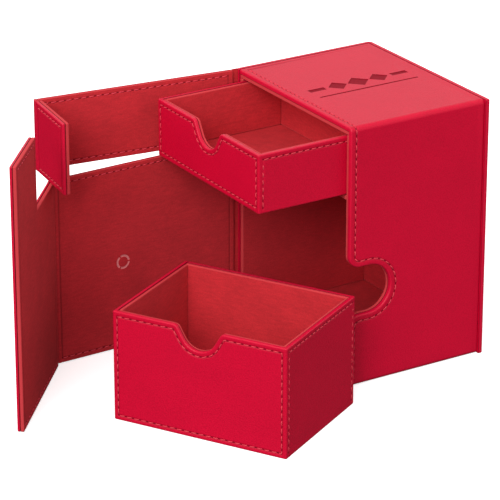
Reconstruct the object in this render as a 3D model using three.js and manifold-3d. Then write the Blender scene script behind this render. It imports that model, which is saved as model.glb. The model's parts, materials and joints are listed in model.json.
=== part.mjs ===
// Card deck box: a leatherette-covered board case with a pull-out accessory drawer above an open
// deck compartment, two folding flaps hinged at its left front edge, and a loose deck tray.
//
// Millimetres. The opening faces -Y, +X is the right-hand side of someone looking into it, and
// +Z is up. The origin is the middle of the case's underside. The box stands open: both flaps are
// swung out, the drawer is half out, and the deck tray stands in front of the case.
//
// Every wall is a laminate of an outer leatherette-covered board and an inner suede-covered lining
// board, so each wall is two pieces with a glue line between them.

import * as THREE from 'three';
import { mergeVertices } from 'three/addons/utils/BufferGeometryUtils.js';
import Module from 'manifold-3d';

const wasm = await Module();
wasm.setup();

// ---------------------------------------------------------------- driving dimensions

const GLUE = 0.2; // gap between laminated or butted pieces
const ARC_STEPS = 14; // straight steps in each rounded stretch of an outline

const CASE = {
  width: 111.4,
  depth: 86.4,
  height: 145.6,
  board: 2.5,
  lining: 2.2,
  liningSetback: 0.5, // the lining stops this far behind the case's front edge
  backOverhang: 0.9, // the back board stands past the right wall by this much
};

const SHELF = { top: 107.2, thickness: 2.6, setback: 0.8 };

// U-shaped thumb notch in the front edge of the right wall
const THUMB = { centreZ: 53.9, halfHeight: 13.6, reach: 26, shoulder: 6.5 };

// Finger notch in the middle of the drawer's and the tray's front edge
const FINGER = { drop: 12.3, bottomRadius: 10.4, shoulder: 3.2, slope: THREE.MathUtils.degToRad(60) };

const BOX_WALL = { board: 2.0, lining: 1.4, liningDrop: 0.3 };
const DRAWER = { length: 101.0, depth: 79.0, height: 31.9, bottomZ: 107.7, pulledOut: 52.5 };
const TRAY = {
  length: 100.4,
  depth: 75.7,
  height: 60.9,
  frontRight: new THREE.Vector2(110.7, -116.8), // where its front right corner stands
  yaw: THREE.MathUtils.degToRad(29.8),
};

const FLAP = {
  board: 1.2,
  lining: 1.0,
  sideBoard: 1.5,
  sideLining: 1.9,
  skin: 0.8, // leatherette alone, at the hinges and folds
  bottomZ: 0.4,
  splitZ: 105.95, // middle of the gap between the lower and the upper flap
  splitGap: 0.3,
  topZ: 145.5,
};
const UPPER = { open: THREE.MathUtils.degToRad(97.1), fold: THREE.MathUtils.degToRad(89.8), side: 42.1 };
const LOWER = {
  open: THREE.MathUtils.degToRad(88.8),
  fold: THREE.MathUtils.degToRad(47.9),
  side: 85.8,
  step: 42.7, // the side panel rises to full height this far from its fold
};

const MAGNET = { radius: 5, caseThickness: 1.5, flapThickness: 0.7, clearance: 0.1, segments: 28 };
// Magnet centres, as a distance back from the flaps' outer face when shut, and a height
const MAGNET_UPPER = { back: 32, z: 126 };
const MAGNET_TAB = { back: 66, z: 126 };
const MAGNET_LOW = { back: 66, z: 40 };

// ---------------------------------------------------------------- worked-out places

const halfWidth = CASE.width / 2;
const front = -CASE.depth / 2;
const back = CASE.depth / 2;
const caseWall = CASE.board + GLUE + CASE.lining;
const backInside = back - caseWall;
const panelThickness = FLAP.board + GLUE + FLAP.lining;
const sideThickness = FLAP.sideBoard + GLUE + FLAP.sideLining;
const flapLength = CASE.width + sideThickness; // hinge to fold, on the outer face
const hingeX = -halfWidth;
const hingeY = front - panelThickness;

// ---------------------------------------------------------------- finishes

const FINISHES = {
  leather: { color: 0xc8102e, roughness: 0.55, metalness: 0 },
  leatherDark: { color: 0xa5182d, roughness: 0.6, metalness: 0 },
  suede: { color: 0xa02630, roughness: 0.95, metalness: 0 },
  magnet: { color: 0x8c8f94, roughness: 0.35, metalness: 1 },
};

function finish(name) {
  return new THREE.MeshStandardMaterial(FINISHES[name]);
}

// ---------------------------------------------------------------- shape helpers

function addMesh(parent, name, geometry, finishName) {
  const mesh = new THREE.Mesh(geometry, finish(finishName));
  mesh.name = name;
  parent.add(mesh);
  return mesh;
}

// A rectangular block between two corners
function block(low, high) {
  const size = high.map((value, i) => value - low[i]);
  const middle = high.map((value, i) => (value + low[i]) / 2);
  return new THREE.BoxGeometry(...size).translate(...middle);
}

// An outline drawn in x and z, given a thickness from y = near towards +Y
function plateFacingY(outline, near, thickness) {
  const geometry = new THREE.ExtrudeGeometry(outline, {
    depth: thickness,
    bevelEnabled: false,
    curveSegments: ARC_STEPS,
  });
  return geometry.rotateX(Math.PI / 2).translate(0, near + thickness, 0);
}

// An outline drawn in y and z, given a thickness from x = near towards +X
function plateFacingX(outline, near, thickness) {
  const geometry = new THREE.ExtrudeGeometry(outline, {
    depth: thickness,
    bevelEnabled: false,
    curveSegments: ARC_STEPS,
  });
  return geometry.rotateX(Math.PI / 2).rotateZ(Math.PI / 2).translate(near, 0, 0);
}

// A disc whose axis runs along 'x' or 'y', from its near face for its thickness
function disc(axis, radius, near, thickness, across, z) {
  const geometry = new THREE.CylinderGeometry(radius, radius, thickness, MAGNET.segments);
  const middle = near + thickness / 2;
  if (axis === 'x') {
    return geometry.rotateZ(Math.PI / 2).translate(middle, across, z);
  }
  return geometry.translate(across, middle, z);
}

function toManifold(geometry) {
  const bare = geometry.clone();
  bare.deleteAttribute('normal');
  bare.deleteAttribute('uv');
  const merged = mergeVertices(bare, 1e-5);
  return new wasm.Manifold(new wasm.Mesh({
    numProp: 3,
    vertProperties: new Float32Array(merged.attributes.position.array),
    triVerts: new Uint32Array(merged.index.array),
  }));
}

function fromManifold(solid) {
  const mesh = solid.getMesh();
  const geometry = new THREE.BufferGeometry();
  geometry.setAttribute('position', new THREE.BufferAttribute(new Float32Array(mesh.vertProperties), 3));
  geometry.setIndex(new THREE.BufferAttribute(new Uint32Array(mesh.triVerts), 1));
  geometry.computeVertexNormals();
  return geometry;
}

function cut(geometry, cutters) {
  const solid = cutters.reduce((rest, cutter) => rest.subtract(toManifold(cutter)), toManifold(geometry));
  return fromManifold(solid);
}

// ---------------------------------------------------------------- outlines

function rectangle(low, high) {
  const outline = new THREE.Shape();
  outline.moveTo(low[0], low[1]);
  outline.lineTo(high[0], low[1]);
  outline.lineTo(high[0], high[1]);
  outline.lineTo(low[0], high[1]);
  outline.closePath();
  return outline;
}

// A wall with the finger notch in the middle of its top edge. The notch is where it is on the
// full-height front, so a lower lining gets the same notch.
function fingerNotchedOutline(halfLength, bottomZ, topZ, rimZ) {
  const { drop, bottomRadius, shoulder, slope } = FINGER;
  const rimHalf = (bottomRadius + (drop - bottomRadius) * Math.cos(slope)) / Math.sin(slope);
  const lowered = (rimZ - topZ) / Math.tan(slope);
  const shoulderX = rimHalf - lowered + shoulder * Math.tan(slope / 2);
  const quarter = Math.PI / 2;
  const outline = new THREE.Shape();
  outline.moveTo(-halfLength, bottomZ);
  outline.lineTo(halfLength, bottomZ);
  outline.lineTo(halfLength, topZ);
  outline.lineTo(shoulderX, topZ);
  outline.absarc(shoulderX, topZ - shoulder, shoulder, quarter, quarter + slope, false);
  outline.absarc(0, rimZ - drop + bottomRadius, bottomRadius, slope - quarter, -quarter - slope, true);
  outline.absarc(-shoulderX, topZ - shoulder, shoulder, quarter - slope, quarter, false);
  outline.lineTo(-halfLength, topZ);
  outline.closePath();
  return outline;
}

// The right wall, drawn in y and z, with the U-shaped thumb notch in its front edge
function thumbNotchedOutline(frontY, backY, bottomZ, topZ) {
  const { centreZ, halfHeight, reach, shoulder } = THUMB;
  const endCentre = front + reach - halfHeight;
  const shoulderY = frontY + shoulder;
  const outline = new THREE.Shape();
  outline.moveTo(frontY, bottomZ);
  outline.lineTo(backY, bottomZ);
  outline.lineTo(backY, topZ);
  outline.lineTo(frontY, topZ);
  outline.absarc(shoulderY, centreZ + halfHeight + shoulder, shoulder, Math.PI, 1.5 * Math.PI, false);
  outline.absarc(endCentre, centreZ, halfHeight, Math.PI / 2, -Math.PI / 2, true);
  outline.absarc(shoulderY, centreZ - halfHeight - shoulder, shoulder, Math.PI / 2, Math.PI, false);
  outline.closePath();
  return outline;
}

// ---------------------------------------------------------------- case

function buildCase() {
  const group = new THREE.Group();
  const t = CASE.board;
  const boardBack = back - t - GLUE;
  const wallLow = t + GLUE;
  const wallHigh = CASE.height - t - GLUE;
  const leather = (name, low, high) => addMesh(group, name, block(low, high), 'leather');
  const suede = (name, low, high) => addMesh(group, name, block(low, high), 'suede');

  const leftInside = -halfWidth + t + GLUE;
  leather('case_top_board', [leftInside, front, CASE.height - t], [halfWidth, boardBack, CASE.height]);
  leather('case_base_board', [leftInside, front, 0], [halfWidth, boardBack, t]);
  leather('case_back_board', [-halfWidth, back - t, 0], [halfWidth + CASE.backOverhang, back, CASE.height]);
  leather('case_left_board', [-halfWidth, front, 0], [-halfWidth + t, boardBack, CASE.height]);

  const magnets = [['case_magnet_upper', MAGNET_UPPER], ['case_magnet_tab', MAGNET_TAB],
    ['case_magnet_low', MAGNET_LOW]];
  const insideFace = halfWidth - t;
  const pocketDepth = MAGNET.caseThickness + MAGNET.clearance;
  const pockets = magnets.map(([, place]) => disc('x', MAGNET.radius + MAGNET.clearance, insideFace - 1,
    pocketDepth + 1, hingeY + place.back, place.z));
  const rightWall = plateFacingX(thumbNotchedOutline(front, boardBack, wallLow, wallHigh), insideFace, t);
  addMesh(group, 'case_right_board', cut(rightWall, pockets), 'leather');
  for (const [name, place] of magnets) {
    const body = disc('x', MAGNET.radius, insideFace, MAGNET.caseThickness, hingeY + place.back, place.z);
    addMesh(group, name, body, 'magnet');
  }

  // Linings: floor and ceiling run wall to wall, the side linings stand between them
  const liningFront = front + CASE.liningSetback;
  const inner = halfWidth - t - GLUE;
  const floorTop = wallLow + CASE.lining;
  const ceiling = wallHigh - CASE.lining;
  const liningBack = backInside - GLUE;
  const sideLow = floorTop + GLUE;
  const sideHigh = ceiling - GLUE;
  suede('case_floor_lining', [-inner, liningFront, wallLow], [inner, boardBack, floorTop]);
  suede('case_ceiling_lining', [-inner, liningFront, ceiling], [inner, boardBack, wallHigh]);
  suede('case_back_lining', [-inner, backInside, sideLow], [inner, boardBack, sideHigh]);
  suede('case_left_lining', [-inner, liningFront, sideLow], [-inner + CASE.lining, liningBack, sideHigh]);
  const rightLining = thumbNotchedOutline(liningFront, liningBack, sideLow, sideHigh);
  addMesh(group, 'case_right_lining', plateFacingX(rightLining, inner - CASE.lining, CASE.lining), 'suede');

  const shelfHalf = inner - CASE.lining - GLUE;
  const shelfLow = SHELF.top - SHELF.thickness;
  suede('drawer_shelf', [-shelfHalf, front + SHELF.setback, shelfLow], [shelfHalf, liningBack, SHELF.top]);

  // The leatherette that carries each flap runs forward from the left wall to the hinge line
  const stripEnd = hingeX + FLAP.skin;
  const upperBottom = FLAP.splitZ + FLAP.splitGap / 2;
  const lowerTop = FLAP.splitZ - FLAP.splitGap / 2;
  leather('upper_hinge_strip', [hingeX, hingeY, upperBottom], [stripEnd, front - GLUE, FLAP.topZ]);
  leather('lower_hinge_strip', [hingeX, hingeY, FLAP.bottomZ], [stripEnd, front - GLUE, lowerTop]);
  return group;
}

// ---------------------------------------------------------------- drawer and deck tray

// An open box with a finger notch in its front, standing on z = 0 with its middle at the origin.
// The front and back run the full length, and the sides and the bottom fit between them.
function openBox(prefix, size, sideFinish) {
  const group = new THREE.Group();
  const { board, lining, liningDrop } = BOX_WALL;
  const halfLength = size.length / 2;
  const halfDepth = size.depth / 2;
  const inX = halfLength - board - GLUE;
  const inY = halfDepth - board - GLUE;
  const rim = size.height;
  const liningRim = rim - liningDrop;
  const floorLow = board + GLUE;
  const floorTop = floorLow + lining;
  const liningLow = floorTop + GLUE;
  const sideY = inY - lining - GLUE;
  const add = (name, geometry, finishName) => addMesh(group, `${prefix}_${name}`, geometry, finishName);

  const frontWall = fingerNotchedOutline(halfLength, 0, rim, rim);
  add('front_board', plateFacingY(frontWall, -halfDepth, board), 'leather');
  add('back_board', block([-halfLength, halfDepth - board, 0], [halfLength, halfDepth, rim]), 'leather');
  add('left_board', block([-halfLength, -inY, 0], [-halfLength + board, inY, rim]), sideFinish);
  add('right_board', block([halfLength - board, -inY, 0], [halfLength, inY, rim]), sideFinish);
  add('bottom_board', block([-inX, -inY, 0], [inX, inY, board]), 'leather');

  const frontLining = fingerNotchedOutline(inX, liningLow, liningRim, rim);
  add('floor_lining', block([-inX, -inY, floorLow], [inX, inY, floorTop]), 'suede');
  add('front_lining', plateFacingY(frontLining, -inY, lining), 'suede');
  add('back_lining', block([-inX, inY - lining, liningLow], [inX, inY, liningRim]), 'suede');
  add('left_lining', block([-inX, -sideY, liningLow], [-inX + lining, sideY, liningRim]), 'suede');
  add('right_lining', block([inX - lining, -sideY, liningLow], [inX, sideY, liningRim]), 'suede');
  return group;
}

function buildDrawer() {
  const group = openBox('drawer', DRAWER, 'leather');
  group.position.set(0, front - DRAWER.pulledOut + DRAWER.depth / 2, DRAWER.bottomZ);
  return group;
}

function buildDeckTray() {
  const group = openBox('tray', TRAY, 'leatherDark');
  const toMiddle = new THREE.Vector2(-TRAY.length / 2, TRAY.depth / 2);
  const middle = toMiddle.rotateAround(new THREE.Vector2(), TRAY.yaw).add(TRAY.frontRight);
  group.position.set(middle.x, middle.y, 0);
  group.rotation.z = TRAY.yaw;
  return group;
}

// ---------------------------------------------------------------- flaps

// A flap is drawn shut: its panel runs along +X from the hinge line with its outer face on y = 0
// and its lining towards +Y. The side panel is drawn the same way from the fold line.
function buildFlap(prefix, size, lowZ, highZ, sideOutline, magnets) {
  const flap = new THREE.Group();
  flap.position.set(hingeX, hingeY, 0);
  flap.rotation.z = -size.open;

  const hingeRoom = FLAP.skin + 0.4;
  const panelEnd = flapLength - FLAP.skin - 0.8;
  const liningNear = FLAP.board + GLUE;
  const panel = block([hingeRoom, 0, lowZ], [panelEnd, FLAP.board, highZ]);
  const panelLining = block([hingeRoom, liningNear, lowZ], [panelEnd, panelThickness, highZ]);
  addMesh(flap, `${prefix}_flap_board`, panel, 'leather');
  addMesh(flap, `${prefix}_flap_lining`, panelLining, 'suede');

  // The side boards stop short of the fold, so that they can turn square to the panel
  const foldRoom = panelThickness + 1.2;
  const side = new THREE.Group();
  side.position.set(flapLength, 0, 0);
  side.rotation.z = size.fold;
  const pocketNear = FLAP.sideBoard - MAGNET.flapThickness - MAGNET.clearance;
  const pockets = magnets.map(([, place]) => disc('y', MAGNET.radius + MAGNET.clearance, pocketNear,
    FLAP.sideBoard, place.back, place.z));
  const sideBoard = plateFacingY(sideOutline(foldRoom), 0, FLAP.sideBoard);
  const sideLining = plateFacingY(sideOutline(foldRoom), FLAP.sideBoard + GLUE, FLAP.sideLining);
  const foldStrip = block([GLUE, 0, lowZ], [foldRoom - GLUE, FLAP.skin, highZ]);
  addMesh(side, `${prefix}_fold_strip`, foldStrip, 'leather');
  addMesh(side, `${prefix}_side_board`, cut(sideBoard, pockets), 'leather');
  addMesh(side, `${prefix}_side_lining`, sideLining, 'suede');
  for (const [name, place] of magnets) {
    const seat = FLAP.sideBoard - MAGNET.flapThickness;
    const body = disc('y', MAGNET.radius, seat, MAGNET.flapThickness, place.back, place.z);
    addMesh(side, name, body, 'magnet');
  }
  flap.add(side);
  return flap;
}

function buildUpperFlap() {
  const low = FLAP.splitZ + FLAP.splitGap / 2;
  const outline = (near) => rectangle([near, low], [UPPER.side, FLAP.topZ]);
  return buildFlap('upper', UPPER, low, FLAP.topZ, outline, [['upper_side_magnet', MAGNET_UPPER]]);
}

// The lower side panel is L-shaped: behind the upper one it rises to the full height
function buildLowerFlap() {
  const high = FLAP.splitZ - FLAP.splitGap / 2;
  const outline = (near) => {
    const shape = new THREE.Shape();
    shape.moveTo(near, FLAP.bottomZ);
    shape.lineTo(LOWER.side, FLAP.bottomZ);
    shape.lineTo(LOWER.side, FLAP.topZ);
    shape.lineTo(LOWER.step, FLAP.topZ);
    shape.lineTo(LOWER.step, high);
    shape.lineTo(near, high);
    shape.closePath();
    return shape;
  };
  const magnets = [['lower_side_magnet_tab', MAGNET_TAB], ['lower_side_magnet_low', MAGNET_LOW]];
  return buildFlap('lower', LOWER, FLAP.bottomZ, high, outline, magnets);
}

// ---------------------------------------------------------------- the whole box

const deckBox = new THREE.Group();
deckBox.add(buildCase(), buildDrawer(), buildDeckTray(), buildUpperFlap(), buildLowerFlap());
deckBox.updateMatrixWorld(true);

export default deckBox;
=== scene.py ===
"""Looks of the card deck box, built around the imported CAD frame.

Every visible board is a leatherette- or suede-covered piece with rounded, wrapped edges, real
thread along its stitched edges, and living-hinge strips that bend where the flaps turn and fold.
Sizes and places are read from the CAD nodes, joints and mounts. Blender units are metres.
"""

import json
import math
import random

import bmesh
import bpy
from mathutils import Matrix, Vector
from mathutils.kdtree import KDTree


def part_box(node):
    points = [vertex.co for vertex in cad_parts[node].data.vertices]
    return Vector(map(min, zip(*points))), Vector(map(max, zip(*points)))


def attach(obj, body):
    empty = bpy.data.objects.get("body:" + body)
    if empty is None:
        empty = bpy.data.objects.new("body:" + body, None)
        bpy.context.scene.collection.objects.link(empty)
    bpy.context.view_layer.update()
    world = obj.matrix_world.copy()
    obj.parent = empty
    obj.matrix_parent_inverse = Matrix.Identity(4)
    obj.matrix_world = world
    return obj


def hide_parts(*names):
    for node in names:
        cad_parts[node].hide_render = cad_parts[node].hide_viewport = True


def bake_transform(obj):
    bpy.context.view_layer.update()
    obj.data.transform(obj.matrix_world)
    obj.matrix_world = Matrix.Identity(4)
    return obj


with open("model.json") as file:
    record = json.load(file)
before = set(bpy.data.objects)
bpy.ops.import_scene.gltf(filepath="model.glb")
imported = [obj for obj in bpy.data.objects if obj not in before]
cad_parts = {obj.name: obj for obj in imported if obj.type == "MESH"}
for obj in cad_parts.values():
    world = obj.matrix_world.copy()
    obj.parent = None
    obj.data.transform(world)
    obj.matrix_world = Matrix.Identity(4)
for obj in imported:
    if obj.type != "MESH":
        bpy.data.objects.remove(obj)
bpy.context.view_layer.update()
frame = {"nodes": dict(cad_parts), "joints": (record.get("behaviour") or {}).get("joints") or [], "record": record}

MM = 0.001
UP = Vector((0, 0, 1))
RANDOM = random.Random(7)

# ---------------------------------------------------------------- driving looks, in metres

LEATHER_RIM = 0.6 * MM  # rounding where leatherette wraps over a board's edge
CASE_RIM = 0.8 * MM  # the same on the case's shell
LEATHER_BACK_RIM = 0.25 * MM  # the rounding on the inner side, which leaves a groove beside the lining
SUEDE_RIM = 0.45 * MM  # rounding of a lining's edge
CORNER = 0.6 * MM  # rounding of a board's corners, seen flat
CASE_BEND = 2.6 * MM  # outer rounding where leatherette turns round the case's long edges
BOX_BEND = 1.0 * MM  # the same on the drawer and the deck tray
STITCH_INSET = 2.7 * MM  # from a board's edge to its row of stitches
CASE_STITCH_INSET = 3.4 * MM  # the same on the case's shell and back
STITCH_PITCH = 4.2 * MM  # from one needle hole to the next
STITCH_LENGTH = 3.1 * MM  # the thread seen between two needle holes
THREAD_RADIUS = 0.32 * MM
CHANNEL_DEPTH = 0.28 * MM  # the groove that a row of stitches pulls into its board
CHANNEL_STEPS = [0.75 * MM * step for step in (-1.25, -1.0, -0.6, -0.25, 0.25, 0.6, 1.0, 1.25)]
CHANNEL_REACH = CHANNEL_STEPS[-1]
GROOVE_PAINTED_SHADE = 0.75  # how much painted shade, as dark as at a seam, the bottom of a stitch groove takes
HOLE_HALF_LONG = (STITCH_PITCH - STITCH_LENGTH) * 0.55  # a needle hole, along its row
HOLE_HALF_WIDE = THREAD_RADIUS * 1.3
FACE_RING = 1.6  # the outer face's last ring lies this many roundings in from the edge
THIN_RIM = 0.42  # a thin board's rounding is at most this share of its thickness
PRESS_DEPTH = 0.35 * MM  # of the emblem on the top
RING_PRESS_DEPTH = 0.3 * MM
SHEET_GAP = 0.1 * MM  # where the ends of the sheet round an open box nearly meet
ARC_STEPS = 10  # points on each rounded corner of an outline

# The finger notch in the drawer's and the tray's front
FINGER_DROP = 12.3 * MM  # depth
FINGER_BOTTOM = 10.4 * MM  # radius of its round bottom
FINGER_SHOULDER = 3.2 * MM  # radius of its shoulders
FINGER_SLOPE = math.radians(60)

# The thumb notch in the case's right wall
THUMB_CENTRE = 53.9 * MM  # height above the ground
THUMB_HALF = 13.6 * MM  # half its height
THUMB_REACH = 26 * MM  # depth from the wall's front edge
THUMB_SHOULDER = 6.5 * MM  # radius of its shoulders

# The light and the camera
KEY_DIRECTION = Vector((0.35, -0.49, 0.40))
KEY_STRENGTH = 2.3
KEY_SPREAD = math.radians(35)
CAMERA_PLACE = (1.28548, -0.86793, 0.69126)
CAMERA_AIM = Vector((0.01059, -0.07607, 0.07))
CAMERA_LENS = 222.66


# ---------------------------------------------------------------- reading the frame

def joint(name):
    """The joint of that name, as the frame gives it."""
    return next(j for j in frame["joints"] if j["name"] == name)


def mount(name):
    """The mount of that name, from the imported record."""
    return next(m for m in frame["record"]["mounts"] if m["name"] == name)


def turned_frame(origin, along):
    """A frame at origin with +X along a level direction and +Z up."""
    x = Vector(along).normalized()
    y = UP.cross(x)
    matrix = Matrix((x, y, UP)).transposed().to_4x4()
    matrix.translation = Vector((origin[0], origin[1], 0))
    return matrix


def extent(node, matrix):
    """Lowest and highest corner of a CAD node, seen in a turned frame."""
    inverse = matrix.inverted()
    points = [inverse @ v.co for v in frame["nodes"][node].data.vertices]
    low = Vector([min(p[i] for p in points) for i in range(3)])
    high = Vector([max(p[i] for p in points) for i in range(3)])
    return low, high


def flap_frames(prefix):
    """The frames of a flap's front panel and of its side panel, each running from its own hinge line."""
    hinge = Vector(joint(prefix + "_flap_hinge")["pos_m"])
    fold = joint(prefix + "_flap_fold")
    along = Vector(fold["pos_m"]) - hinge
    folded = math.radians(fold["range_deg"][1])
    side_along = Matrix.Rotation(folded, 3, "Z") @ along
    return turned_frame(hinge, along), turned_frame(fold["pos_m"], side_along)


LEVEL = Matrix.Identity(4)
TRAY_FRAME = turned_frame(mount("tray_base")["pos_m"], UP.cross(Vector(joint("tray_slide")["axis"])))


# ---------------------------------------------------------------- outlines

def rounded_loop(corners, inset=0.0):
    """Points round a counter-clockwise outline moved inwards by inset.

    corners is a list of (x, y, radius). An outward corner's radius shrinks by the inset and an
    inward corner's grows, so the loops of one outline stay parallel and have the same count.
    """
    points = [Vector(c[:2]) for c in corners]
    count = len(points)
    loop = []
    for i, corner in enumerate(points):
        before = (corner - points[i - 1]).normalized()
        after = (points[(i + 1) % count] - corner).normalized()
        turn = math.atan2(before.cross(after), before.dot(after))
        bisector = Vector((-before.y, before.x)) + Vector((-after.y, after.x))
        moved = corner + bisector * inset / (1 + before.dot(after))
        radius = corners[i][2] - inset if turn > 0 else corners[i][2] + inset
        radius = max(radius, 0.02 * MM)
        side = 1 if turn > 0 else -1
        tangent = moved - before * radius * math.tan(abs(turn) / 2)
        centre = tangent + Vector((-before.y, before.x)) * radius * side
        for k in range(ARC_STEPS + 1):
            angle = turn * k / ARC_STEPS
            loop.append(centre + Matrix.Rotation(angle, 2) @ (tangent - centre))
    return loop


def rectangle(width, height, radius=CORNER):
    """The outline of a plain board."""
    return [(0, 0, radius), (width, 0, radius), (width, height, radius), (0, height, radius)]


def finger_notched(width, height, rim_drop=0.0, middle=None):
    """A wall with the finger notch in its top edge; rim_drop is how far the edge is below the front's."""
    middle = width / 2 if middle is None else middle
    rim_half = FINGER_BOTTOM + (FINGER_DROP - FINGER_BOTTOM) * math.cos(FINGER_SLOPE)
    rim_half = rim_half / math.sin(FINGER_SLOPE)
    half = rim_half - rim_drop / math.tan(FINGER_SLOPE)
    point = height - half * math.tan(FINGER_SLOPE)
    return [
        (0, 0, CORNER),
        (width, 0, CORNER),
        (width, height, CORNER),
        (middle + half, height, FINGER_SHOULDER),
        (middle, point, FINGER_BOTTOM),
        (middle - half, height, FINGER_SHOULDER),
        (0, height, CORNER),
    ]


def thumb_notched(width, height, middle, reach):
    """An outline with the thumb notch in its lower edge, at middle and reaching in by reach."""
    low = middle - THUMB_HALF
    high = middle + THUMB_HALF
    end_radius = THUMB_HALF - 0.01 * MM
    return [
        (0, 0, CORNER),
        (low, 0, THUMB_SHOULDER),
        (low, reach, end_radius),
        (high, reach, end_radius),
        (high, 0, THUMB_SHOULDER),
        (width, 0, CORNER),
        (width, height, CORNER),
        (0, height, CORNER),
    ]


# ---------------------------------------------------------------- placing flat work

def flat_place(origin, u, v):
    """Maps (u, v, depth) to space: depth runs inwards from the outer face."""
    outward = u.cross(v)

    def place(a, b, depth):
        return origin + u * a + v * b - outward * depth

    return place


def facing_place(matrix, low, high, facing):
    """The place function and the size of a board that fills a box and whose outer face looks one way."""
    origins = {
        "-y": ((low.x, low.y, low.z), (1, 0, 0), (0, 0, 1)),
        "+y": ((high.x, high.y, low.z), (-1, 0, 0), (0, 0, 1)),
        "+x": ((high.x, low.y, low.z), (0, 1, 0), (0, 0, 1)),
        "-x": ((low.x, high.y, low.z), (0, -1, 0), (0, 0, 1)),
        "+z": ((low.x, low.y, high.z), (1, 0, 0), (0, 1, 0)),
        "-z": ((low.x, high.y, low.z), (1, 0, 0), (0, -1, 0)),
    }
    origin, u, v = (Vector(part) for part in origins[facing])
    size = high - low
    width = abs(size.dot(u))
    height = abs(size.dot(v))
    thickness = abs(size.dot(u.cross(v)))
    turn = matrix.to_3x3()
    return flat_place(matrix @ origin, turn @ u, turn @ v), width, height, thickness


class BentSheet:
    """A sheet that follows straight runs with rounded bends between them.

    corners are points of its outer face; v is the direction that stays straight. u is measured
    along the outer face.
    """

    def __init__(self, corners, v, radius):
        self.corners = [Vector(c) for c in corners]
        self.v = Vector(v)
        self.radius = radius
        self.runs = []
        self.bends = []
        directions = [(b - a).normalized() for a, b in zip(self.corners, self.corners[1:])]
        self.directions = directions
        turns = []
        for before, after in zip(directions, directions[1:]):
            turns.append(math.atan2(before.cross(after).dot(self.v), before.dot(after)))
        self.turns = turns
        trims = [0.0] + [radius * math.tan(abs(t) / 2) for t in turns] + [0.0]
        u = 0.0
        for k, direction in enumerate(directions):
            start = self.corners[k] + direction * trims[k]
            length = (self.corners[k + 1] - self.corners[k]).length - trims[k] - trims[k + 1]
            self.runs.append((u, start, direction, trims[k]))
            u += length
            if k < len(turns):
                arc = radius * abs(turns[k])
                self.bends.append((u, u + arc, start + direction * length, direction, turns[k]))
                u += arc
        self.length = u

    def at(self, run, distance):
        """u of the point that lies a distance along a run from its first corner."""
        u, _, _, trim = self.runs[run]
        return u + distance - trim

    def place(self, a, b, depth):
        """Maps (u, v, depth) to space; depth runs inwards from the outer face."""
        rise = self.v * b
        squeeze = max(0.0, depth - self.radius)  # deeper than the bend's centre, the sheet is mitred
        for k, (start_u, end_u, start, direction, turn) in enumerate(self.bends):
            if not start_u < a < end_u:
                continue
            outward = direction.cross(self.v)
            side = math.copysign(1, turn)
            if turn > 0 and squeeze:
                return start - direction * squeeze * math.tan(turn / 2) - outward * depth + rise
            centre = start - outward * self.radius * side
            turned = Matrix.Rotation(turn * (a - start_u) / (end_u - start_u), 3, self.v) @ outward
            return centre + turned * (self.radius * side - depth) + rise
        k = max((i for i, run in enumerate(self.runs) if run[0] <= a), default=0)
        u, start, direction, _ = self.runs[k]
        along = a - u
        if squeeze and k > 0 and self.turns[k - 1] > 0:
            along = max(along, squeeze * math.tan(self.turns[k - 1] / 2))
        if squeeze and k < len(self.turns) and self.turns[k] > 0:
            length = self.bends[k][0] - u
            along = min(along, length - squeeze * math.tan(self.turns[k] / 2))
        return start + direction * along - direction.cross(self.v) * depth + rise

    def inner(self, depth, radius):
        """The sheet that lies inside this one at a depth."""
        normals = [d.cross(self.v) for d in self.directions]
        moved = [self.corners[0] - normals[0] * depth]
        for corner, before, after in zip(self.corners[1:], normals, normals[1:]):
            moved.append(corner - (before + after) * depth / (1 + before.dot(after)))
        moved.append(self.corners[-1] - normals[-1] * depth)
        return BentSheet(moved, self.v, radius)


# ---------------------------------------------------------------- board sections

def arc_section(inset, depth, radius, start, end, steps=4):
    """Points (inset, depth) of a rounded edge whose arc centre is at inset and depth."""
    points = []
    for k in range(steps + 1):
        angle = math.radians(start + (end - start) * k / steps)
        points.append((inset - radius * math.cos(angle), depth - radius * math.sin(angle)))
    return points


def board_section(thickness, rim, back_rim, channel=None):
    """(inset, depth, rim) from the middle of the outer face, over the edge, to the back.

    The rim is 1 on the edge, where the leatherette wears and the suede takes a painted highlight, and -1 at the
    seam behind it, where it takes painted shade.
    """
    face = [channel - step for step in CHANNEL_STEPS] if channel else []
    face.append(rim * FACE_RING)
    section = [(inset, 0.0, 0.0) for inset in sorted(face, reverse=True)]
    section += [(inset, depth, 1.0) for inset, depth in arc_section(rim, rim, rim, 90, 0)]
    back = arc_section(back_rim, thickness - back_rim, back_rim, 0, -90)
    section.append((*back[0], 1.0))
    section += [(inset, depth, -1.0) for inset, depth in back[1:]]
    section.append((back_rim * 2, thickness, 0.0))
    return section


# ---------------------------------------------------------------- meshes

def new_object(name, mesh, material):
    """An object in the scene, made of one mesh and one material."""
    mesh.materials.append(material)
    piece = bpy.data.objects.new(name, mesh)
    bpy.context.scene.collection.objects.link(piece)
    return piece


def walk(path, closed, step):
    """Points along a polyline, no further apart than a step."""
    points = path + path[:1] if closed else path
    for a, b in zip(points, points[1:]):
        count = max(1, math.ceil((b - a).length / step))
        for k in range(count):
            yield a.lerp(b, k / count)
    yield points[-1]


def channel_field(rows):
    """A function that says how deep the rows of stitches pull a point of the outer face."""
    samples = [point for path, closed in rows for point in walk(path, closed, 0.2 * MM)]
    tree = KDTree(len(samples))
    for i, point in enumerate(samples):
        tree.insert((point.x, point.y, 0), i)
    tree.balance()

    def pull(u, v):
        distance = tree.find((u, v, 0))[2]
        share = max(0.0, 1 - (distance / CHANNEL_REACH) ** 2)
        return CHANNEL_DEPTH * share * share

    return pull


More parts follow.
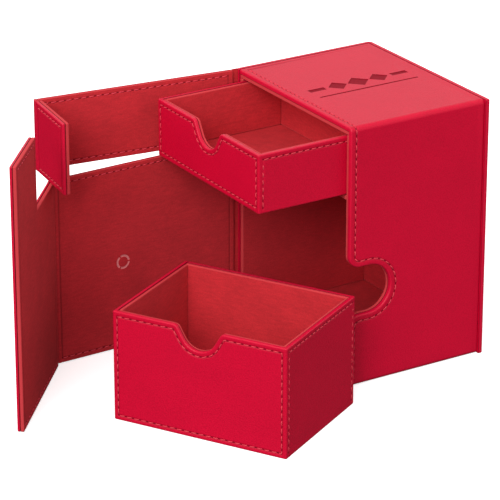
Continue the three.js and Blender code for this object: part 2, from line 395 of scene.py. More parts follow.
def board_mesh(name, corners, section, place, cuts=(), smooth_zones=(), rows=()):
    """A board with rounded edges: loops of one outline joined ring by ring and closed by two faces."""
    bm = bmesh.new()
    rim_layer = bm.verts.layers.float.new("rim")
    loops = []
    for inset, depth, rim in section:
        loop = []
        for point in rounded_loop(corners, inset):
            vertex = bm.verts.new((point.x, point.y, depth))
            vertex[rim_layer] = rim
            loop.append(vertex)
        loops.append(loop)
    count = len(loops[0])
    for inner, outer in zip(loops, loops[1:]):
        for i in range(count):
            j = (i + 1) % count
            bm.faces.new((outer[i], outer[j], inner[j], inner[i])).smooth = True
    bm.faces.new(loops[0])
    bm.faces.new(reversed(loops[-1]))
    for u in cuts:
        everything = bm.verts[:] + bm.edges[:] + bm.faces[:]
        bmesh.ops.bisect_plane(bm, geom=everything, plane_co=(u, 0, 0), plane_no=(1, 0, 0), dist=1e-7)
    for face in bm.faces:
        middle = face.calc_center_bounds().x
        if any(low < middle < high for low, high in smooth_zones):
            face.smooth = True
    pull = channel_field(rows) if rows else None
    for vertex in bm.verts:
        u, v, depth = vertex.co
        if pull and depth < 1e-9:
            depth = pull(u, v)
            # painted shade: the bottom of a stitch groove is painted darker through the rim value
            vertex[rim_layer] = -GROOVE_PAINTED_SHADE * depth / CHANNEL_DEPTH
        vertex.co = place(u, v, depth)
    bmesh.ops.remove_doubles(bm, verts=bm.verts, dist=1e-6)
    bmesh.ops.recalc_face_normals(bm, faces=bm.faces)
    mesh = bpy.data.meshes.new(name)
    bm.to_mesh(mesh)
    bm.free()
    return mesh


def board_piece(name, corners, section, place, material, **shaping):
    """An object made of one board_mesh."""
    return new_object(name, board_mesh(name, corners, section, place, **shaping), material)


def along_path(path, closed):
    """A function from distance to (point, direction) on a polyline, and the polyline's length."""
    points = path + path[:1] if closed else path
    lengths = [(b - a).length for a, b in zip(points, points[1:])]
    total = sum(lengths)

    def sample(distance):
        left = distance % total if closed else min(max(distance, 0), total)
        for a, b, length in zip(points, points[1:], lengths):
            if left <= length and length > 1e-9:
                direction = (b - a) / length
                return a + direction * left, direction
            left -= length
        return points[-1], (points[-1] - points[-2]).normalized()

    return sample, total


class Sewing:
    """Collects the stitches and the needle holes of one body's rows, then makes two pieces of them; the holes'
    dark colour is painted shade.
    """

    def __init__(self, name, body):
        self.name = name
        self.body = body
        self.thread = bmesh.new()
        self.holes = bmesh.new()

    def sew(self, rows, place):
        """Stitches along each row, and a needle hole between each two of them."""
        for path, closed in rows:
            sample, total = along_path(path, closed)
            count = max(1, round(total / STITCH_PITCH))
            pitch = total / count
            for k in range(count):
                self.stitch(sample, (k + 0.5) * pitch, STITCH_LENGTH * pitch / STITCH_PITCH, place)
            for k in range(count if closed else count + 1):
                self.hole(sample, k * pitch, place)

    def stitch(self, sample, middle, length, place):
        """One stitch: a short fat thread that rises from its two needle holes, at a slight slant."""
        sides = 8
        rings = 7
        lean = 0.10  # these two are in millimetres
        spread = 0.05
        slant = (lean + RANDOM.uniform(-spread, spread)) * MM
        previous = None
        for r in range(rings):
            t = -1 + 2 * r / (rings - 1)
            point, direction = sample(middle + t * length / 2)
            across = Vector((-direction.y, direction.x))
            girth = THREAD_RADIUS * (1 - 0.55 * abs(t) ** 4)
            height = THREAD_RADIUS * (0.95 - 1.5 * abs(t) ** 3) - CHANNEL_DEPTH
            ring = []
            for s in range(sides):
                angle = 2 * math.pi * s / sides
                flat = point + across * (girth * math.cos(angle) + slant * t)
                depth = -(height + girth * math.sin(angle) * 0.85)
                ring.append(self.thread.verts.new(place(flat.x, flat.y, depth)))
            if previous:
                for s in range(sides):
                    n = (s + 1) % sides
                    self.thread.faces.new((previous[s], previous[n], ring[n], ring[s])).smooth = True
            else:
                self.thread.faces.new(reversed(ring))
            previous = ring
        self.thread.faces.new(previous)

    def hole(self, sample, distance, place):
        """A needle hole: a small dimple painted dark as painted shade, made as a low closed lens."""
        point, direction = sample(distance)
        across = Vector((-direction.y, direction.x))
        sides = 8
        rim = []
        for s in range(sides):
            angle = 2 * math.pi * s / sides
            flat = point + direction * HOLE_HALF_LONG * math.cos(angle)
            flat += across * HOLE_HALF_WIDE * math.sin(angle)
            rim.append(self.holes.verts.new(place(flat.x, flat.y, CHANNEL_DEPTH - 0.03 * MM)))
        top = self.holes.verts.new(place(point.x, point.y, CHANNEL_DEPTH - 0.06 * MM))
        bottom = self.holes.verts.new(place(point.x, point.y, CHANNEL_DEPTH + 0.2 * MM))
        for s in range(sides):
            n = (s + 1) % sides
            self.holes.faces.new((rim[s], rim[n], top))
            self.holes.faces.new((rim[n], rim[s], bottom))

    def finish(self):
        """Makes the two pieces, the thread and the needle holes, and lets them ride on the body."""
        for bm, suffix, material in ((self.thread, "thread", THREAD), (self.holes, "painted_hole_shade", NEEDLE_HOLE_SHADE)):
            bmesh.ops.recalc_face_normals(bm, faces=bm.faces)
            mesh = bpy.data.meshes.new(f"{self.name}_{suffix}")
            bm.to_mesh(mesh)
            bm.free()
            piece = new_object(f"{self.name}_{suffix}", mesh, material)
            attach(piece, self.body)


def press_mark(piece, outlines, place, depth, material):
    """Presses closed outlines into a piece's outer face; the pressed faces take their own material."""
    bm = bmesh.new()
    for outline in outlines:
        above = [bm.verts.new(place(p.x, p.y, -1 * MM)) for p in outline]
        below = [bm.verts.new(place(p.x, p.y, depth)) for p in outline]
        bm.faces.new(above)
        bm.faces.new(reversed(below))
        for i in range(len(outline)):
            j = (i + 1) % len(outline)
            bm.faces.new((above[i], below[i], below[j], above[j]))
    bmesh.ops.recalc_face_normals(bm, faces=bm.faces)
    mesh = bpy.data.meshes.new("mark")
    bm.to_mesh(mesh)
    bm.free()
    die = new_object("mark", mesh, material)
    press = piece.modifiers.new("press", "BOOLEAN")
    press.object = die
    press.operation = "DIFFERENCE"
    press.solver = "EXACT"
    press.material_mode = "TRANSFER"
    graph = bpy.context.evaluated_depsgraph_get()
    pressed = bpy.data.meshes.new_from_object(piece.evaluated_get(graph))
    piece.modifiers.remove(press)
    piece.data = pressed
    bpy.data.objects.remove(die)


def stand_for(piece, body, slot, *nodes):
    """piece rides on body and is shown in place of the CAD nodes; slot is not used."""
    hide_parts(*nodes)
    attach(piece, body)
    return piece


# ---------------------------------------------------------------- materials

def new_material(name, roughness, ior=1.45):
    """A material with one Principled shader; gives (material, node tree, shader)."""
    material = bpy.data.materials.new(name)
    material.use_nodes = True
    tree = material.node_tree
    shader = tree.nodes["Principled BSDF"]
    shader.inputs["Roughness"].default_value = roughness
    shader.inputs["IOR"].default_value = ior
    return material, tree, shader


def node(tree, kind, **settings):
    """A new node; each setting is an input's value where there is such an input, or else a property."""
    made = tree.nodes.new(kind)
    for key, value in settings.items():
        if key in made.inputs:
            made.inputs[key].default_value = value
        else:
            setattr(made, key, value)
    return made


def ramp(tree, source, low, high, low_color, high_color):
    """A colour that goes from low_color to high_color as the source goes from low to high."""
    made = node(tree, "ShaderNodeValToRGB")
    made.color_ramp.elements[0].position = low
    made.color_ramp.elements[1].position = high
    made.color_ramp.elements[0].color = (*low_color, 1)
    made.color_ramp.elements[1].color = (*high_color, 1)
    tree.links.new(source, made.inputs["Fac"])
    return made.outputs["Color"]


def mix(tree, kind, factor, a, b):
    """Blends two colours; the factor and the colours are sockets or plain values."""
    made = node(tree, "ShaderNodeMix", data_type="RGBA", blend_type=kind)
    for socket, value in ((made.inputs[0], factor), (made.inputs[6], a), (made.inputs[7], b)):
        if hasattr(value, "links"):
            tree.links.new(value, socket)
        elif isinstance(value, tuple):
            socket.default_value = (*value, 1)
        else:
            socket.default_value = value
    return made.outputs[2]


def noise(tree, coordinates, scale, detail=3, roughness=0.6):
    """A noise's grey value at the coordinates."""
    made = node(tree, "ShaderNodeTexNoise", Scale=scale, Detail=detail, Roughness=roughness)
    tree.links.new(coordinates, made.inputs["Vector"])
    return made.outputs["Fac"]


def add_bump(tree, shader, height, distance, strength, below=None):
    """Bumps the shader's surface by a height, on top of the bump below; gives the new normal."""
    bump = node(tree, "ShaderNodeBump", Strength=strength, Distance=distance)
    tree.links.new(height, bump.inputs["Height"])
    if below:
        tree.links.new(below, bump.inputs["Normal"])
    tree.links.new(bump.outputs["Normal"], shader.inputs["Normal"])
    return bump.outputs["Normal"]


def scaled(color, factor):
    """The colour made lighter or darker by a factor."""
    return tuple(channel * factor for channel in color)


def blend_of(tree, source, low, high):
    """A grey that runs from low to high as a noise goes from its dark to its light patches."""
    return ramp(tree, source, 0.3, 0.7, (low,) * 3, (high,) * 3)


def rim_wear_and_painted_light(tree, color, rim_color, rim_breakup):
    """Rubs a leatherette rim lighter as wear and paints a suede rim lighter as a painted highlight, broken up by a
    noise, and darkens the seam behind it as painted shade.
    """
    rim = node(tree, "ShaderNodeAttribute", attribute_name="rim").outputs["Fac"]
    share = node(tree, "ShaderNodeMath", operation="MULTIPLY", use_clamp=True)
    tree.links.new(rim, share.inputs[0])
    tree.links.new(rim_breakup, share.inputs[1])
    lightened_rim = mix(tree, "MIX", share.outputs[0], color, rim_color)
    below = node(tree, "ShaderNodeMapRange")
    below.inputs["From Min"].default_value = -0.9
    below.inputs["From Max"].default_value = -0.1
    tree.links.new(rim, below.inputs["Value"])
    # painted shade: the seam behind an edge is painted darker
    painted_seam_shade = ramp(tree, below.outputs["Result"], 0.0, 1.0, (0.45,) * 3, (1.0,) * 3)
    return mix(tree, "MULTIPLY", 1.0, lightened_rim, painted_seam_shade)


def leatherette(name, color, rim_color):
    """Coated leatherette: fine pebbled grain, darker in its valleys, rubbed lighter along its edges, with painted
    shade in the seams behind them and in its stitch grooves.
    """
    material, tree, shader = new_material(name, 0.5)
    shader.inputs["Specular IOR Level"].default_value = 0.28
    place = node(tree, "ShaderNodeTexCoord").outputs["Object"]
    shake = node(tree, "ShaderNodeTexNoise", Scale=900, Detail=2)
    small = node(tree, "ShaderNodeVectorMath", operation="SCALE")
    small.inputs["Scale"].default_value = 0.6 * MM
    wobble = node(tree, "ShaderNodeVectorMath", operation="ADD")
    pebbles = node(tree, "ShaderNodeTexVoronoi", feature="SMOOTH_F1", Scale=1650, Smoothness=0.35)
    tree.links.new(place, shake.inputs["Vector"])
    tree.links.new(shake.outputs["Color"], small.inputs["Vector"])
    tree.links.new(place, wobble.inputs[0])
    tree.links.new(small.outputs["Vector"], wobble.inputs[1])
    tree.links.new(wobble.outputs["Vector"], pebbles.inputs["Vector"])
    valleys = pebbles.outputs["Distance"]
    cloudy = noise(tree, place, 45, detail=4)
    fine = noise(tree, place, 2600, detail=2)
    grain = ramp(tree, valleys, 0.25, 0.75, scaled(color, 1.02), scaled(color, 0.88))
    patchy = mix(tree, "MULTIPLY", 1.0, grain, blend_of(tree, cloudy, 0.96, 1.03))
    rim_breakup = blend_of(tree, noise(tree, place, 700), 0.25, 1.0)
    tree.links.new(rim_wear_and_painted_light(tree, patchy, rim_color, rim_breakup), shader.inputs["Base Color"])
    rough = node(tree, "ShaderNodeMapRange")
    rough.inputs["To Min"].default_value = 0.36
    rough.inputs["To Max"].default_value = 0.48
    tree.links.new(fine, rough.inputs["Value"])
    tree.links.new(rough.outputs["Result"], shader.inputs["Roughness"])
    inverted = node(tree, "ShaderNodeMath", operation="SUBTRACT")
    inverted.inputs[0].default_value = 1.0
    tree.links.new(valleys, inverted.inputs[1])
    grained = add_bump(tree, shader, inverted.outputs[0], distance=0.11 * MM, strength=0.7)
    add_bump(tree, shader, fine, distance=0.02 * MM, strength=0.4, below=grained)
    return material


def suede(name, color, edge_highlight_color):
    """Microfibre suede: matt, brushed sideways, with a short nap and a little sheen; its edges carry a painted
    highlight and the seams behind them painted shade.
    """
    material, tree, shader = new_material(name, 0.95)
    shader.inputs["Specular IOR Level"].default_value = 0.2
    shader.inputs["Sheen Weight"].default_value = 0.1
    shader.inputs["Sheen Roughness"].default_value = 0.5
    shader.inputs["Sheen Tint"].default_value = (1.0, 0.25, 0.25, 1)
    place = node(tree, "ShaderNodeTexCoord").outputs["Object"]
    stretched = node(tree, "ShaderNodeMapping")
    stretched.inputs["Scale"].default_value = (0.22, 0.22, 1.0)
    tree.links.new(place, stretched.inputs["Vector"])
    strokes = noise(tree, stretched.outputs["Vector"], 900, detail=4, roughness=0.65)
    nap = noise(tree, place, 1500, detail=4, roughness=0.7)
    cloudy = noise(tree, place, 60, detail=4)
    fleck = ramp(tree, nap, 0.32, 0.68, scaled(color, 0.86), scaled(color, 1.12))
    brushed = mix(tree, "MULTIPLY", 1.0, fleck, blend_of(tree, strokes, 0.88, 1.1))
    patchy = mix(tree, "MULTIPLY", 1.0, brushed, blend_of(tree, cloudy, 0.92, 1.06))
    rim_breakup = blend_of(tree, nap, 0.7, 1.0)
    tree.links.new(rim_wear_and_painted_light(tree, patchy, edge_highlight_color, rim_breakup), shader.inputs["Base Color"])
    stroked = add_bump(tree, shader, strokes, distance=0.07 * MM, strength=0.4)
    add_bump(tree, shader, nap, distance=0.06 * MM, strength=0.5, below=stroked)
    return material


def thread_material():
    """Twisted polyester thread: a slanting ply pattern."""
    material, tree, shader = new_material("sewing_thread", 0.6)
    place = node(tree, "ShaderNodeTexCoord").outputs["Object"]
    ply = node(tree, "ShaderNodeTexWave", wave_type="BANDS", bands_direction="DIAGONAL", Scale=900)
    tree.links.new(place, ply.inputs["Vector"])
    strands = ply.outputs["Fac"]
    color = ramp(tree, strands, 0.1, 0.8, THREAD_DARK, THREAD_LIGHT)
    tree.links.new(color, shader.inputs["Base Color"])
    add_bump(tree, shader, strands, distance=0.06 * MM, strength=0.5)
    return material


def pressed_leather(name, color):
    """The duller surface inside needle holes and pressed marks; in the needle holes its dark colour is painted
    shade.
    """
    material, tree, shader = new_material(name, 0.8, ior=1.2)
    place = node(tree, "ShaderNodeTexCoord").outputs["Object"]
    speckle = noise(tree, place, 1800, detail=2)
    tree.links.new(ramp(tree, speckle, 0.3, 0.7, scaled(color, 0.7), color), shader.inputs["Base Color"])
    add_bump(tree, shader, speckle, distance=0.04 * MM, strength=0.5)
    return material


def nickel():
    """Nickel-plated steel of the hidden magnets, finely brushed."""
    material, tree, shader = new_material("nickel_plate", 0.3)
    place = node(tree, "ShaderNodeTexCoord").outputs["Object"]
    shader.inputs["Metallic"].default_value = 1.0
    brushed = noise(tree, place, 1200)
    color = ramp(tree, brushed, 0.3, 0.7, NICKEL_DARK, NICKEL_LIGHT)
    tree.links.new(color, shader.inputs["Base Color"])
    add_bump(tree, shader, brushed, distance=0.01 * MM, strength=0.3)
    return material


LEATHER_RED = (0.62, 0.0012, 0.030)
LEATHER_WORN = (0.62, 0.004, 0.036)
SUEDE_RED = (0.53, 0.023, 0.032)
# painted highlight: the lighter colour of a suede lining's edges
SUEDE_EDGE_HIGHLIGHT = (0.57, 0.047, 0.055)
THREAD_DARK = (0.54, 0.018, 0.042)
THREAD_LIGHT = (0.80, 0.055, 0.085)
NICKEL_DARK = (0.5, 0.5, 0.52)
NICKEL_LIGHT = (0.66, 0.67, 0.69)

LEATHER = leatherette("leatherette_red", LEATHER_RED, LEATHER_WORN)
SUEDE = suede("suede_red", SUEDE_RED, SUEDE_EDGE_HIGHLIGHT)
THREAD = thread_material()
# painted shade: the needle holes' dark colour stands in for the shade inside them
NEEDLE_HOLE_SHADE = pressed_leather("needle_hole_painted_shade", (0.24, 0.002, 0.012))
PRESSED = pressed_leather("pressed_mark", (0.30, 0.008, 0.02))
PALE_PRESSED = pressed_leather("pale_pressed_mark", (0.85, 0.26, 0.27))
NICKEL = nickel()


# ---------------------------------------------------------------- boards and rows

def straight(*points):
    """An open row through the points."""
    return [Vector(point) for point in points], False


def closed_row(corners, inset, shift=0.0):
    """A row all round an outline, at an inset from its edge."""
    return [point + Vector((shift, 0)) for point in rounded_loop(corners, inset)], True


def level_rows(width, height, inset, top_width):
    """Rows along a board's lower edge and along its upper edge, which may be shorter."""
    ends = ((inset, width), (height - inset, top_width))
    return [straight((inset, level), (end - inset, level)) for level, end in ends]


def board_for(name, node_name, body, matrix, facing, outline=None, look="leather", rows_for=None):
    """A covered board in the place of one CAD node, with its rows of stitches."""
    low, high = extent(node_name, matrix)
    place, width, height, thickness = facing_place(matrix, low, high, facing)
    corners = outline(width, height) if outline else rectangle(width, height)
    rows = rows_for(corners, width, height) if rows_for else []
    rim = min(LEATHER_RIM if look == "leather" else SUEDE_RIM, thickness * THIN_RIM)
    section = board_section(thickness, rim, LEATHER_BACK_RIM, STITCH_INSET if rows else None)
    material = LEATHER if look == "leather" else SUEDE
    piece = board_piece(name, corners, section, place, material, rows=rows)
    stand_for(piece, body, "leatherette" if look == "leather" else "suede", node_name)
    if rows:
        sewing = Sewing(name, body)
        sewing.sew(rows, place)
        sewing.finish()
    return piece, place


def bend_cuts(sheet, steps=8):
    """Where a bent sheet is cut across so that it can follow its bends, and the smooth zones there."""
    cuts = []
    zones = []
    for start, end, *_ in sheet.bends:
        cuts += [start + (end - start) * k / steps for k in range(steps + 1)]
        zones.append((start, end))
    return cuts, zones


def cross_channels(positions):
    """Cuts and smooth zones for rows of stitches that run across a sheet."""
    cuts = [u + step for u in positions for step in CHANNEL_STEPS]
    zones = [(u - CHANNEL_REACH, u + CHANNEL_REACH) for u in positions]
    return cuts, zones


# ---------------------------------------------------------------- the drawer and the deck tray

def build_open_box(prefix, body, matrix):
    """An open box: one leatherette cover round its four sides, a bottom board and five linings."""
    low, high = extent(f"{prefix}_front_board", matrix)
    back = extent(f"{prefix}_back_board", matrix)[1].y
    board = high.y - low.y
    length = high.x - low.x
    height = high.z - low.z
    path = [(low.x, back), (low.x, low.y), (high.x, low.y), (high.x, back)]
    path.append((low.x + board + SHEET_GAP, back))
    path = [matrix @ Vector((x, y, low.z)) for x, y in path]
    sheet = BentSheet(path, UP, BOX_BEND)
    inset = STITCH_INSET
    front_start = sheet.at(1, 0)
    back_start = sheet.at(3, 0)
    depth = back - low.y
    back_length = length - board - SHEET_GAP
    top = height - inset

    rows = [
        closed_row(finger_notched(length, height), inset, front_start),
        closed_row(rectangle(back_length, height), inset, back_start),
    ]
    upright = [front_start + inset, front_start + length - inset]
    upright += [back_start + inset, back_start + back_length - inset]
    for run in (0, 2):
        ends = [sheet.at(run, inset), sheet.at(run, depth - inset)]
        rows.append(straight((ends[0], top), (ends[1], top)))
        rows += [straight((end, top - STITCH_PITCH / 2), (end, inset)) for end in ends]
        upright += ends
    cuts, zones = bend_cuts(sheet)
    channel_cuts, channel_zones = cross_channels(upright)
    corners = finger_notched(sheet.length, height, middle=front_start + length / 2)
    section = board_section(board, LEATHER_RIM, LEATHER_BACK_RIM, inset)
    cover = board_piece(f"{prefix}_leather_cover", corners, section, sheet.place, LEATHER,
                        cuts=cuts + channel_cuts, smooth_zones=zones + channel_zones, rows=rows)
    walls = [f"{prefix}_{side}_board" for side in ("front", "back", "left", "right")]
    stand_for(cover, body, "leatherette", *walls)
    sewing = Sewing(f"{prefix}_cover", body)
    sewing.sew(rows, sheet.place)
    sewing.finish()

    rim_drop = high.z - extent(f"{prefix}_front_lining", matrix)[1].z

    def lining_outline(width, lining_height):
        return finger_notched(width, lining_height, rim_drop)

    board_for(f"{prefix}_bottom_cover", f"{prefix}_bottom_board", body, matrix, "-z")
    facings = {"front": "+y", "back": "-y", "left": "+x", "right": "-x", "floor": "+z"}
    for side, facing in facings.items():
        outline = lining_outline if side == "front" else None
        name = f"{prefix}_{side}_lining"
        board_for(f"{name}_suede", name, body, matrix, facing, outline=outline, look="suede")


# ---------------------------------------------------------------- the case

def build_case_shell():
    """Top, right wall and base in one piece of leatherette, with the thumb notch."""
    top_low, top_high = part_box("case_top_board")
    base_low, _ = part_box("case_base_board")
    left, right = top_low.x, top_high.x
    front, back = top_low.y, top_high.y
    roof = top_high.z
    ground = base_low.z
    inset = CASE_STITCH_INSET
    path = [(left, front, roof), (right, front, roof), (right, front, ground), (left, front, ground)]
    sheet = BentSheet(path, (0, 1, 0), CASE_BEND)
    notch = sheet.at(1, roof - THUMB_CENTRE)
    corners = thumb_notched(sheet.length, back - front, notch, THUMB_REACH)
    front_edge = rounded_loop(corners, inset)[ARC_STEPS:5 * (ARC_STEPS + 1)]
    row_end = Vector((sheet.at(1, roof - ground - inset), inset))
    rows = [(front_edge + [row_end], False)]
    section = board_section(top_high.z - top_low.z, CASE_RIM, LEATHER_BACK_RIM, inset)
    cuts, zones = bend_cuts(sheet)
    shell = board_piece("case_shell_cover", corners, section, sheet.place, LEATHER,
                        cuts=cuts, smooth_zones=zones, rows=rows)
    stand_for(shell, "case", "leatherette", "case_top_board", "case_right_board", "case_base_board")
    press_top_mark(shell, roof)
    sewing = Sewing("case_shell", "case")
    sewing.sew(rows, sheet.place)
    sewing.finish()


def press_top_mark(shell, roof):
    """A plain debossed emblem on the top: three lozenges between two bars, over a thin line."""
    place = flat_place(Vector((0, 0, roof)), Vector((0, 1, 0)), Vector((-1, 0, 0)))
    level = 3  # this and the other sizes here are in millimetres
    outlines = []
    for along, half in ((-13, 5.8), (0, 6.6), (13, 5.8)):
        outlines.append([(along - half, level), (along, level - half),
                         (along + half, level), (along, level + half)])
    for low, high in ((-31, -21), (21, 31)):
        outlines.append([(low, 1.2), (high, 1.2), (high, 4.8), (low, 4.8)])
    outlines.append([(-31, -8.4), (31, -8.4), (31, -7.2), (-31, -7.2)])
    scaled_outlines = [[Vector(p) * MM for p in outline] for outline in outlines]
    press_mark(shell, scaled_outlines, place, PRESS_DEPTH, PRESSED)


def build_case_cover():
    """Back panel and left wall in one piece; it ends a little past the right wall."""
    back_low, back_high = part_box("case_back_board")
    left_low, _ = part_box("case_left_board")
    path = [(back_high.x, back_high.y, 0), (back_low.x, back_high.y, 0), (left_low.x, left_low.y, 0)]
    sheet = BentSheet(path, UP, CASE_BEND)
    corners = rectangle(sheet.length, back_high.z)
    rows = level_rows(sheet.length, back_high.z, CASE_STITCH_INSET, sheet.length)
    section = board_section(back_high.y - back_low.y, LEATHER_RIM, LEATHER_BACK_RIM, CASE_STITCH_INSET)
    cuts, zones = bend_cuts(sheet)
    cover = board_piece("case_back_cover", corners, section, sheet.place, LEATHER,
                        cuts=cuts, smooth_zones=zones, rows=rows)
    stand_for(cover, "case", "leatherette", "case_back_board", "case_left_board")
    sewing = Sewing("case_back", "case")
    sewing.sew(rows, sheet.place)
    sewing.finish()


def build_case_linings():
    """The five suede linings and the drawer's shelf; the right lining has the thumb notch."""
    for name, facing in (("floor", "+z"), ("ceiling", "-z"), ("back", "-y"), ("left", "+x")):
        board_for(f"case_{name}_suede", f"case_{name}_lining", "case", LEVEL, facing, look="suede")
    low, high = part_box("case_right_lining")
    place, width, height, thickness = facing_place(LEVEL, low, high, "-x")
    reach = THUMB_REACH - (low.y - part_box("case_right_board")[0].y)
    # The notch opens at this face's right-hand edge, so the outline is drawn turned a quarter
    corners = thumb_notched(height, width, THUMB_CENTRE - low.z, reach)

    def turned_place(a, b, depth):
        return place(width - b, a, depth)

    section = board_section(thickness, SUEDE_RIM, LEATHER_BACK_RIM)
    lining = board_piece("case_right_suede", corners, section, turned_place, SUEDE)
    stand_for(lining, "case", "suede", "case_right_lining")
    board_for("drawer_shelf_suede", "drawer_shelf", "case", LEVEL, "+z", look="suede")


# ---------------------------------------------------------------- the flaps

def build_flap(prefix):
    """A flap's front panel and side panel, each a leatherette board and a suede board, with thread."""
    panel, side = flap_frames(prefix)
    body = f"{prefix}_flap"
    side_body = f"{prefix}_side_flap"

    def top_and_bottom(corners, width, height):
        top_width = max(x for x, y, _ in corners if y == height)
        return level_rows(width, height, STITCH_INSET, top_width)

    def all_round(corners, width, height):
        return [closed_row(corners, STITCH_INSET)]

    outline = lower_side_outline(side) if prefix == "lower" else None
    for name, owner, matrix in (("flap", body, panel), ("side", side_body, side)):
        for layer, facing, look in (("board", "-y", "leather"), ("lining", "+y", "suede")):
            shape = None
            rows = top_and_bottom
            if name == "side" and outline:
                shape = outline(facing == "+y")
                if layer == "board":
                    rows = all_round
            piece, place = board_for(f"{prefix}_{name}_{layer}_cover", f"{prefix}_{name}_{layer}", owner,
                                     matrix, facing, outline=shape, look=look, rows_for=rows)
            if (prefix, name, layer) == ("lower", "flap", "lining"):
                press_ring(piece, place, extent("lower_flap_lining", panel))


def press_ring(lining, place, box):
    """A small debossed ring, in three arcs, on the lower front panel's lining."""
    low, high = box
    from_hinge = 72  # these four are in millimetres
    above_ground = 50.3
    outer_radius = 4.1
    inner_radius = 2.9
    arc = math.radians(108)
    steps = 12
    middle = Vector((high.x - from_hinge * MM, above_ground * MM - low.z))
    outlines = []
    for third in range(3):
        start = math.radians(120 * third + 6)
        angles = [start + arc * k / steps for k in range(steps + 1)]
        outer = [middle + Vector((math.cos(a), math.sin(a))) * outer_radius * MM for a in angles]
        inner = [middle + Vector((math.cos(a), math.sin(a))) * inner_radius * MM for a in reversed(angles)]
        outlines.append(outer + inner)
    press_mark(lining, outlines, place, RING_PRESS_DEPTH, PALE_PRESSED)


def lower_side_outline(side):
    """The L shape of the lower side panel: its far part rises behind the upper flap's side panel."""
    low, high = extent("lower_side_board", side)
    shoulder = extent("lower_flap_board", side)[1].z
    inverse = side.inverted()
    points = [inverse @ v.co for v in frame["nodes"]["lower_side_board"].data.vertices]
    step = min(p.x for p in points if p.z > high.z - 0.01 * MM) - low.x
    rise = shoulder - low.z

    def shape_for(flipped):
        def outline(width, height):
            shape = [(0, 0), (width, 0), (width, height), (step, height), (step, rise), (0, rise)]
            if flipped:
                shape = [(width - x, y) for x, y in reversed(shape)]
            return [(x, y, CORNER) for x, y in shape]

        return outline

    return shape_for


def bending_strip(name, sheet, height, thickness, look, a, b, replaced=None):
    """A thin strip across a hinge line, bent along the sheet; a and b are not used."""
    corners = rectangle(sheet.length, height, 0.2 * MM)
    rim = thickness * 0.4
    section = board_section(thickness, rim, rim * 0.6)
    slices = 18
    cuts = [sheet.length * k / slices for k in range(1, slices)]
    material = LEATHER if look == "leatherette" else SUEDE
    strip = board_piece(name, corners, section, sheet.place, material, cuts=cuts,
                        smooth_zones=[(0, sheet.length)])
    if replaced:
        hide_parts(replaced)
    clear = 0.25 * MM
    start = sheet.place(clear, height / 2, thickness / 2)
    end = sheet.place(sheet.length - clear, height / 2, thickness / 2)
    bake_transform(strip)


def build_bends(prefix):
    """The living hinge at the case and the one at the fold: leatherette outside, suede inside."""
    panel, side = flap_frames(prefix)
    body = f"{prefix}_flap"
    side_body = f"{prefix}_side_flap"
    gap = 0.05 * MM
    strip_low, strip_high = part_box(f"{prefix}_hinge_strip")
    skin = strip_high.x - strip_low.x
    height = strip_high.z - strip_low.z
    rise = Vector((0, 0, strip_low.z))
    board_low, board_high = extent(f"{prefix}_flap_board", panel)
    side_start = extent(f"{prefix}_side_board", side)[0].x
    hinge = panel.translation + rise
    fold = side.translation + rise
    panel_x = panel.to_3x3() @ Vector((1, 0, 0))
    side_x = side.to_3x3() @ Vector((1, 0, 0))
    case_end = Vector((strip_low.x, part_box("case_left_board")[0].y - gap, strip_low.z))
    hinge_path = [case_end, hinge, hinge + panel_x * (board_low.x - gap)]
    fold_path = [hinge + panel_x * (board_high.x + gap), fold, fold + side_x * (side_start - gap)]
    for label, path, a, b in (("hinge", hinge_path, "case", body), ("fold", fold_path, body, side_body)):
        outer = BentSheet(path, UP, 0.9 * MM)
        name = f"{prefix}_{label}"
        bending_strip(f"{name}_leather", outer, height, skin, "leatherette", a, b, f"{name}_strip")
        inner = outer.inner(skin + 0.03 * MM, 0.3 * MM)
        bending_strip(f"{name}_suede", inner, height, 0.35 * MM, "suede", a, b)


# ---------------------------------------------------------------- stage

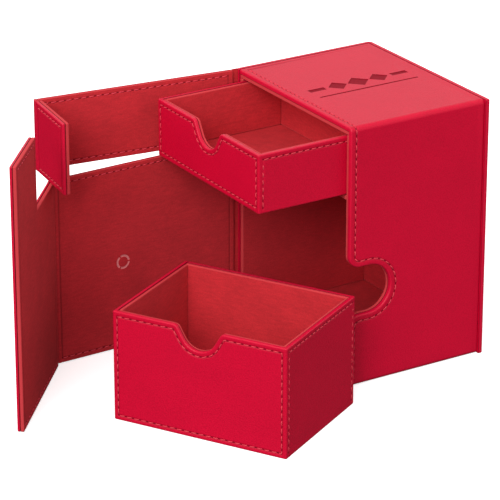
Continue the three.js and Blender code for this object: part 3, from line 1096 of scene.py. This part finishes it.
def build_stage():
    """A pale floor, soft light from above and in front, and the camera."""
    mesh = bpy.data.meshes.new("floor")
    reach = 3.0
    corners = [(-reach, -reach, 0), (reach, -reach, 0), (reach, reach, 0), (-reach, reach, 0)]
    mesh.from_pydata(corners, [], [(0, 1, 2, 3)])
    material, tree, shader = new_material("pale_floor", 0.9)
    shader.inputs["Base Color"].default_value = (0.92, 0.92, 0.92, 1)
    shader.inputs["Specular IOR Level"].default_value = 0.0
    shader.inputs["Emission Color"].default_value = (1, 1, 1, 1)
    shader.inputs["Emission Strength"].default_value = 0.6
    floor = new_object("floor", mesh, material)
    floor.visible_diffuse = False
    floor.visible_glossy = False

    world = bpy.data.worlds.new("studio")
    bpy.context.scene.world = world
    world.use_nodes = True
    tree = world.node_tree
    place = node(tree, "ShaderNodeTexCoord").outputs["Generated"]
    direction = node(tree, "ShaderNodeSeparateXYZ")
    tree.links.new(place, direction.inputs[0])
    lift = node(tree, "ShaderNodeMapRange")
    lift.inputs["From Min"].default_value = -0.15
    lift.inputs["From Max"].default_value = 0.15
    tree.links.new(direction.outputs["Z"], lift.inputs["Value"])
    side = node(tree, "ShaderNodeMapRange")
    side.inputs["From Min"].default_value = -0.8
    side.inputs["From Max"].default_value = 0.8
    tree.links.new(direction.outputs["X"], side.inputs["Value"])
    low_sky = ramp(tree, side.outputs["Result"], 0.0, 1.0, (0.01,) * 3, (0.14,) * 3)
    sky = mix(tree, "MIX", lift.outputs["Result"], low_sky, (0.90,) * 3)
    tree.links.new(sky, tree.nodes["Background"].inputs["Color"])

    lamp = bpy.data.lights.new("key_softbox", "SUN")
    lamp.energy = KEY_STRENGTH
    lamp.angle = KEY_SPREAD
    key = bpy.data.objects.new("key_softbox", lamp)
    key.rotation_euler = KEY_DIRECTION.to_track_quat("Z", "Y").to_euler()
    bpy.context.scene.collection.objects.link(key)

    camera = bpy.data.cameras.new("camera")
    camera.sensor_width = 36
    camera.lens = CAMERA_LENS
    holder = bpy.data.objects.new("camera", camera)
    holder.location = CAMERA_PLACE
    holder.rotation_euler = (CAMERA_AIM - holder.location).to_track_quat("-Z", "Y").to_euler()
    bpy.context.scene.collection.objects.link(holder)
    bpy.context.scene.camera = holder
    bpy.context.scene.view_settings.view_transform = "Standard"


# ---------------------------------------------------------------- making the scene

build_stage()
build_case_shell()
build_case_cover()
build_case_linings()
build_open_box("drawer", "drawer", LEVEL)
build_open_box("tray", "deck_tray", TRAY_FRAME)
for flap in ("upper", "lower"):
    build_flap(flap)
    build_bends(flap)
for magnet in [name for name in frame["nodes"] if "magnet" in name]:
    frame["nodes"][magnet].data.materials.clear()
    frame["nodes"][magnet].data.materials.append(NICKEL)
